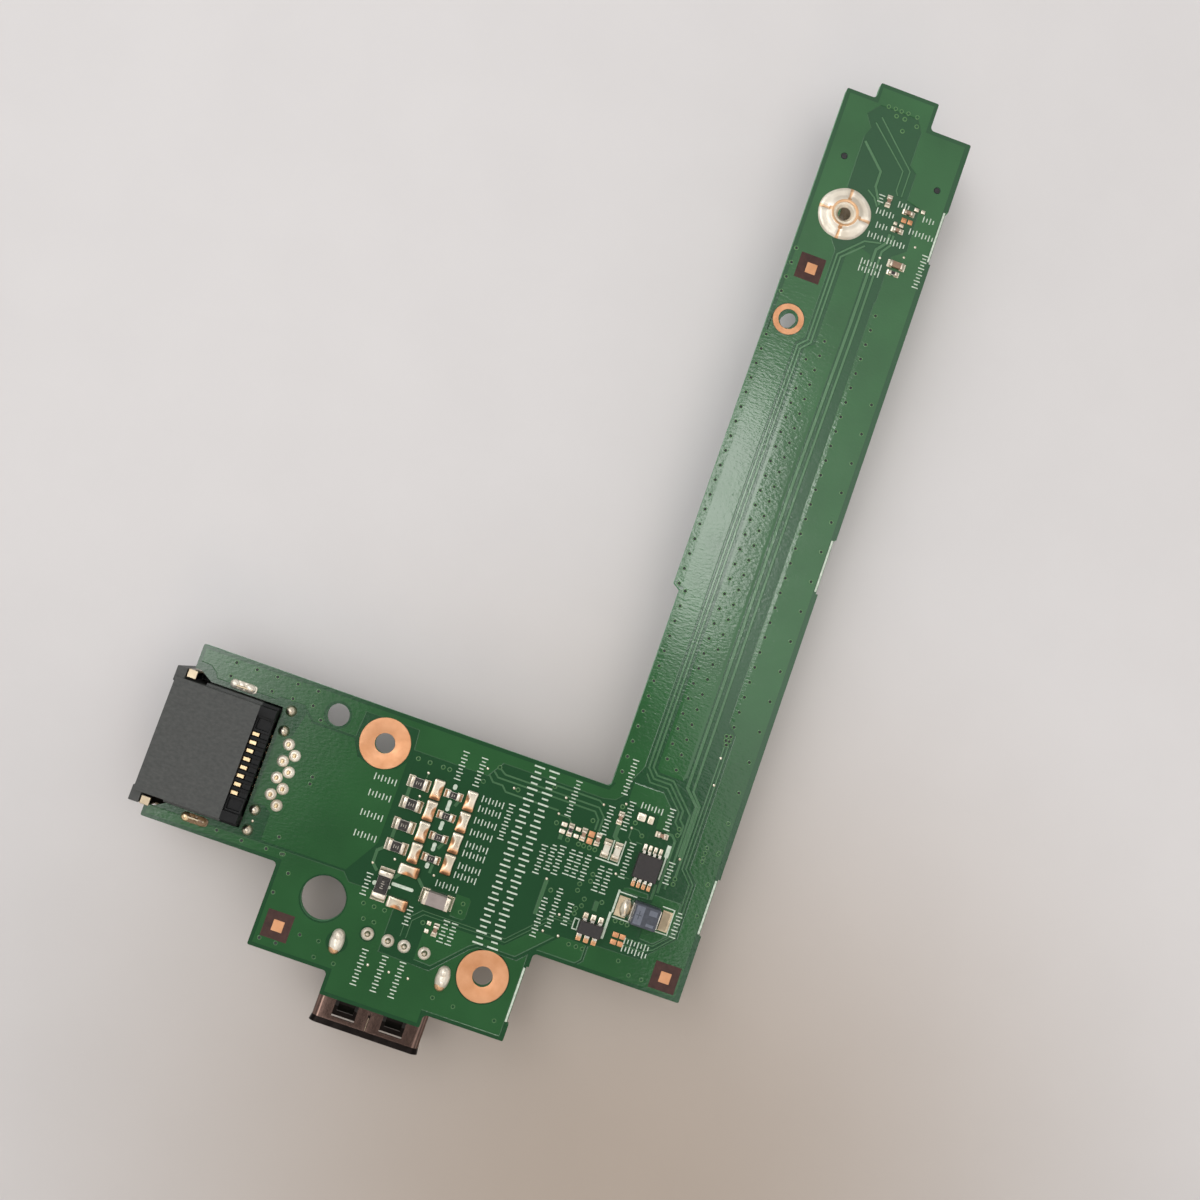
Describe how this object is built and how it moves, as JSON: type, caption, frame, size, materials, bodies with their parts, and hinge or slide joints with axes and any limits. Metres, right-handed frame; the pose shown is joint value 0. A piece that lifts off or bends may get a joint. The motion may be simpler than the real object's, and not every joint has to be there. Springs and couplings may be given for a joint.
{
  "type": "laptop side board with usb and network sockets",
  "caption": "L-shaped circuit board with an under-slung network jack, a USB socket, a threaded standoff and a board connector.",
  "frame": {"origin": "centre of the screw hole beside the USB socket, on the component face of the board", "axes": "+Z out of the component face, +Y up the long arm of the board, +X from the network jack towards the arm"},
  "size_m": [0.0683, 0.1301, 0.0117],
  "materials": {
    "solder_mask": "glossy green solder mask over copper",
    "jack_plastic": "moulded dark grey nylon, fine spark grain",
    "socket_plastic": "moulded black plastic",
    "link_plastic": "moulded ivory liquid crystal polymer",
    "tinned_steel": "tin plated stamped steel",
    "tinned_brass": "tin plated turned brass",
    "gold_plate": "gold plated spring bronze",
    "tinned_lead": "bright tin plate",
    "solder": "bright reflowed solder",
    "chip_epoxy": "black moulding compound",
    "tank_epoxy": "slate moulded epoxy with a paler polarity band",
    "resistor_ceramic": "black glazed face between tinned ends",
    "capacitor_ceramic": "fired brown ceramic between tinned ends",
    "fuse_ceramic": "off-white ceramic between tinned ends"
  },
  "bodies": {
    "root": {"board": "solder_mask", "jack_housing": "jack_plastic", "jack_carrier": "jack_plastic", "jack_contacts": "gold_plate", "jack_end_contacts": "gold_plate", "jack_shield_upper": "tinned_steel", "jack_shield_lower": "tinned_steel", "usb_shell": "tinned_steel", "usb_insulator": "socket_plastic", "usb_contacts": "gold_plate", "standoff": "tinned_brass", "standoff_solder": "solder", "link_housing": "link_plastic", "link_contacts": "gold_plate", "power_chip": "chip_epoxy", "power_chip_leads": "tinned_lead", "guard_chip": "chip_epoxy", "guard_chip_leads": "tinned_lead", "tank_capacitor": "tank_epoxy", "tank_capacitor_terminals": "tinned_lead", "jack_solder": "solder", "usb_solder": "solder", "spare_land_solder": "solder", "fuse_1": "fuse_ceramic", "fuse_2": "fuse_ceramic", "line_resistor_1": "resistor_ceramic", "line_resistor_2": "resistor_ceramic", "line_resistor_3": "resistor_ceramic", "line_resistor_4": "resistor_ceramic", "link_resistor_1": "resistor_ceramic", "link_resistor_2": "resistor_ceramic", "link_resistor_3": "resistor_ceramic", "link_resistor_4": "resistor_ceramic", "shunt_resistor": "resistor_ceramic", "strap_resistor": "resistor_ceramic", "tip_resistor": "resistor_ceramic", "surge_capacitor": "capacitor_ceramic", "line_capacitor_1": "capacitor_ceramic", "line_capacitor_2": "capacitor_ceramic", "supply_capacitor_1": "capacitor_ceramic", "supply_capacitor_2": "capacitor_ceramic", "usb_capacitor": "capacitor_ceramic", "tip_capacitor_1": "capacitor_ceramic", "tip_capacitor_2": "capacitor_ceramic", "tip_capacitor_3": "capacitor_ceramic", "tip_capacitor_4": "capacitor_ceramic"}
  },
  "joints": []
}
